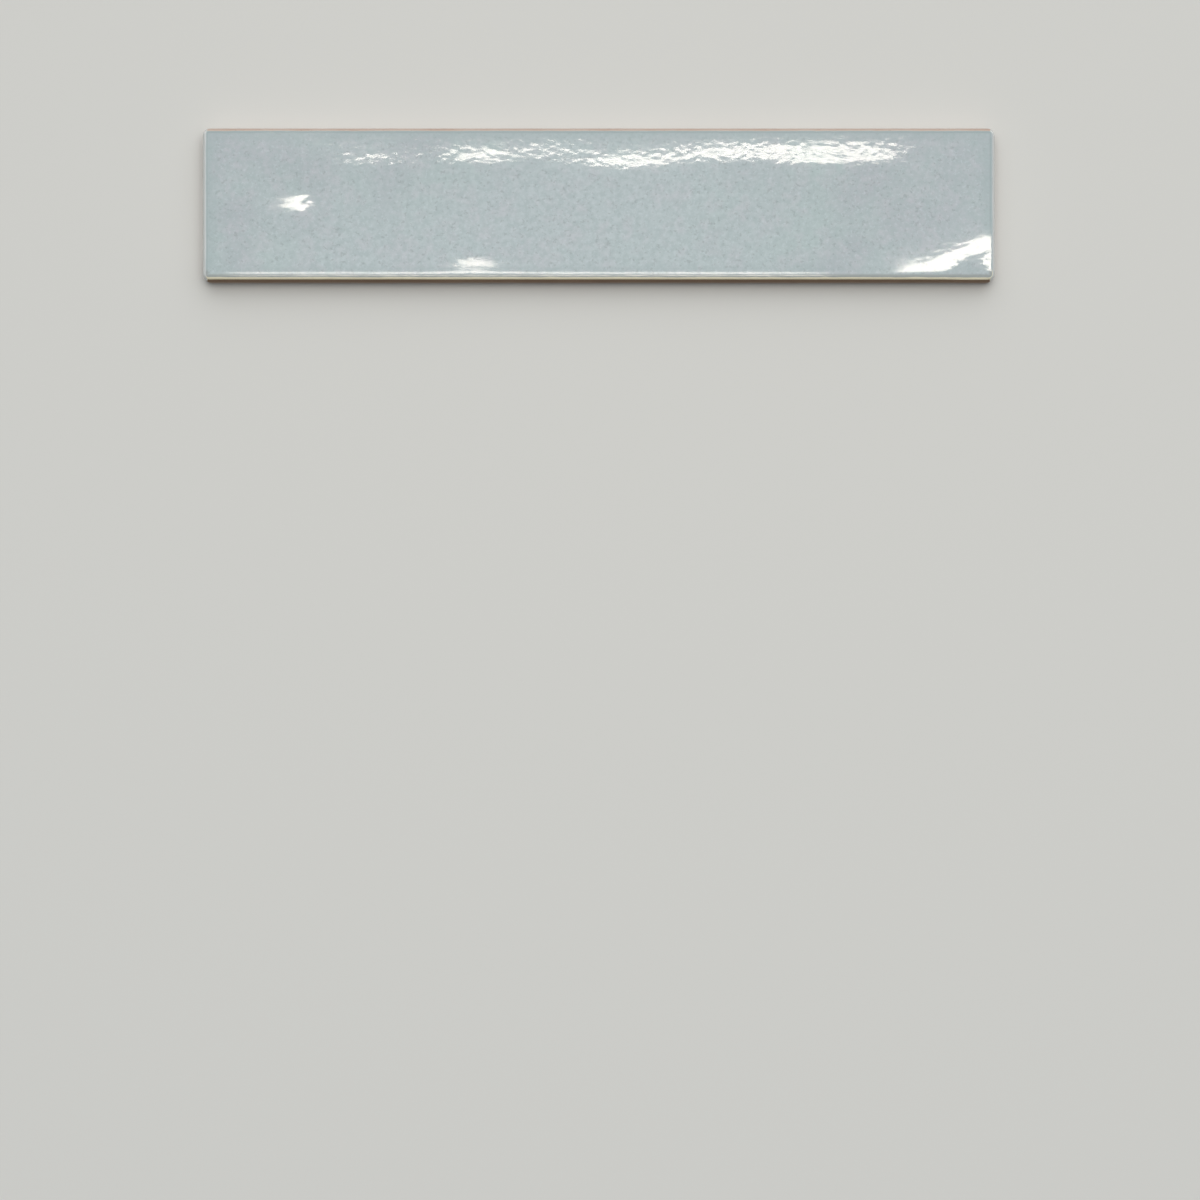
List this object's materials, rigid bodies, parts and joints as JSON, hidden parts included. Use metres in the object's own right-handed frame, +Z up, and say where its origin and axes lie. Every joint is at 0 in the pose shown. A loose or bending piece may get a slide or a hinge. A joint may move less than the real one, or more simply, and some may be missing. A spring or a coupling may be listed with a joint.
{
  "type": "porcelain tile",
  "caption": "Long, narrow glazed porcelain wall tile with a glossy, softly undulating face, rounded glazed edges and a ribbed back for bedding in adhesive.",
  "frame": {"origin": "middle of the back, on the plane of the ribs that beds into the adhesive", "axes": "+X along the tile's length, +Y across its width, +Z up out of the glazed face"},
  "size_m": [0.3, 0.058, 0.0086],
  "materials": {
    "glazed_porcelain": "glossy pale blue-grey glaze with fine speckle over an unglazed pinkish beige body"
  },
  "bodies": {
    "root": {"tile": "glazed_porcelain"}
  },
  "joints": []
}
